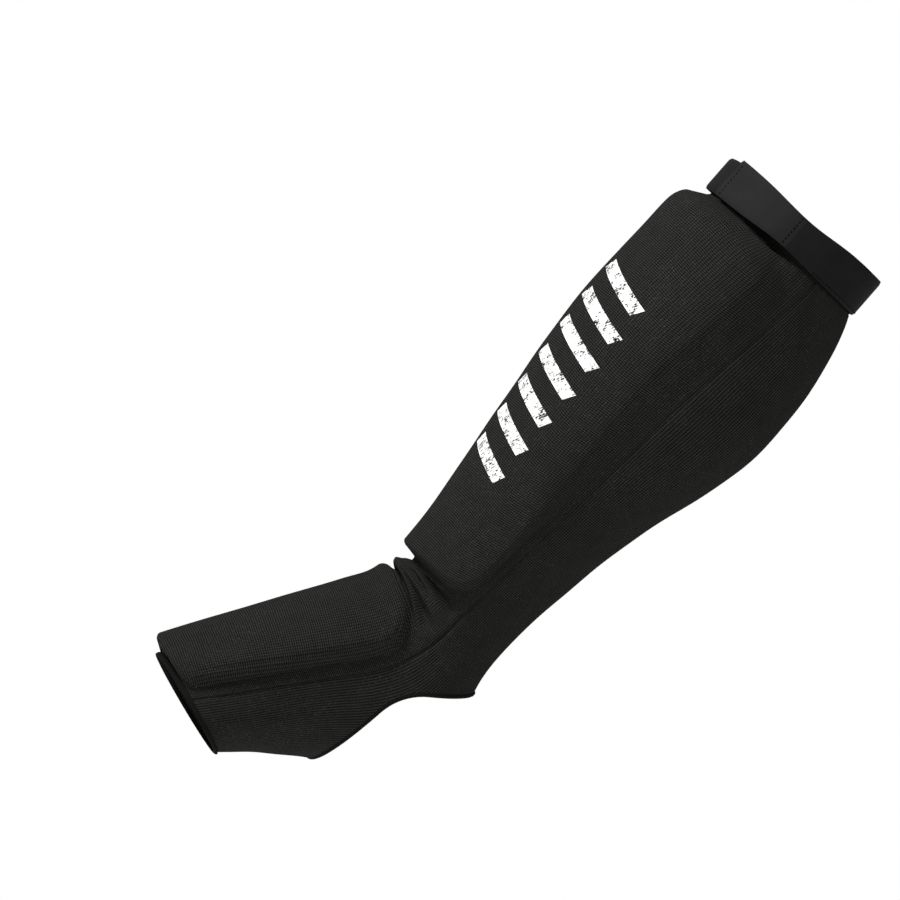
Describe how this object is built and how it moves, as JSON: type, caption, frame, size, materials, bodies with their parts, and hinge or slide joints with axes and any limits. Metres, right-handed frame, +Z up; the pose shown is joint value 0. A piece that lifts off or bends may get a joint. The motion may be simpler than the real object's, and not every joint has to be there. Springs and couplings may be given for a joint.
{
  "type": "shin guard",
  "caption": "Slip-on elastic knit guard for the shin and instep with foam pads, an open heel and toe, and a hook-and-loop cuff below the knee.",
  "frame": {"origin": "centre of the cuff at mid height, on the axis of the leg below the knee", "axes": "+Z up the leg and out of the cuff, +X to the front of the shin and the toes, +Y to the wearer's left, where the strap closes"},
  "size_m": [0.1983, 0.1412, 0.4604],
  "materials": {
    "knit": "fine ribbed elastic knit, matt",
    "lining": "plain knit lining",
    "foam": "closed-cell foam sheet",
    "hem": "turned knit hem",
    "elastic": "smooth woven elastic, matt",
    "loop": "brushed loop pile",
    "hook": "moulded hooks",
    "thread": "sewing thread",
    "seam": "overlocked seam",
    "print": "worn screen print"
  },
  "bodies": {
    "shin": {"calf_panel": "knit", "shin_lining": "lining", "shin_foam": "foam", "shin_panel": "knit", "shin_seam_left": "seam", "shin_seam_right": "seam", "shin_print": "print", "top_hem": "hem", "cuff_band": "elastic", "loop_patch": "loop", "cuff_stitching": "thread", "ankle_gusset": "knit", "ankle_back": "knit", "ankle_seam_left": "seam", "ankle_seam_right": "seam", "heel_hem_upper": "hem"},
    "strap": {"strap_elastic": "elastic"},
    "tab": {"strap_tab": "elastic", "hook_patch": "hook", "tab_end_stitching": "thread", "tab_root_stitching": "thread"},
    "foot": {"foot_band": "knit", "instep_lining": "lining", "instep_foam": "foam", "instep_panel": "knit", "toe_hem": "hem", "heel_hem_lower": "hem", "foot_seam_left": "seam", "foot_seam_right": "seam"}
  },
  "joints": [
    {"name": "ankle_flex", "type": "hinge", "parent": "shin", "child": "foot", "pos_m": [0, 0, -0.33], "axis": [0, -1, 0], "range_deg": [-20, 4], "deforming": ["ankle_gusset", "ankle_back", "ankle_seam_left", "ankle_seam_right", "heel_hem_upper"]},
    {"name": "strap_swing", "type": "hinge", "parent": "shin", "child": "strap", "pos_m": [-0.00676, 0.05509, 0], "axis": [0, 0, 1], "range_deg": [0, 80]},
    {"name": "tab_peel", "type": "hinge", "parent": "strap", "child": "tab", "pos_m": [0.01347, 0.05836, 0], "axis": [0, 0, 1], "range_deg": [0, 110]}
  ]
}
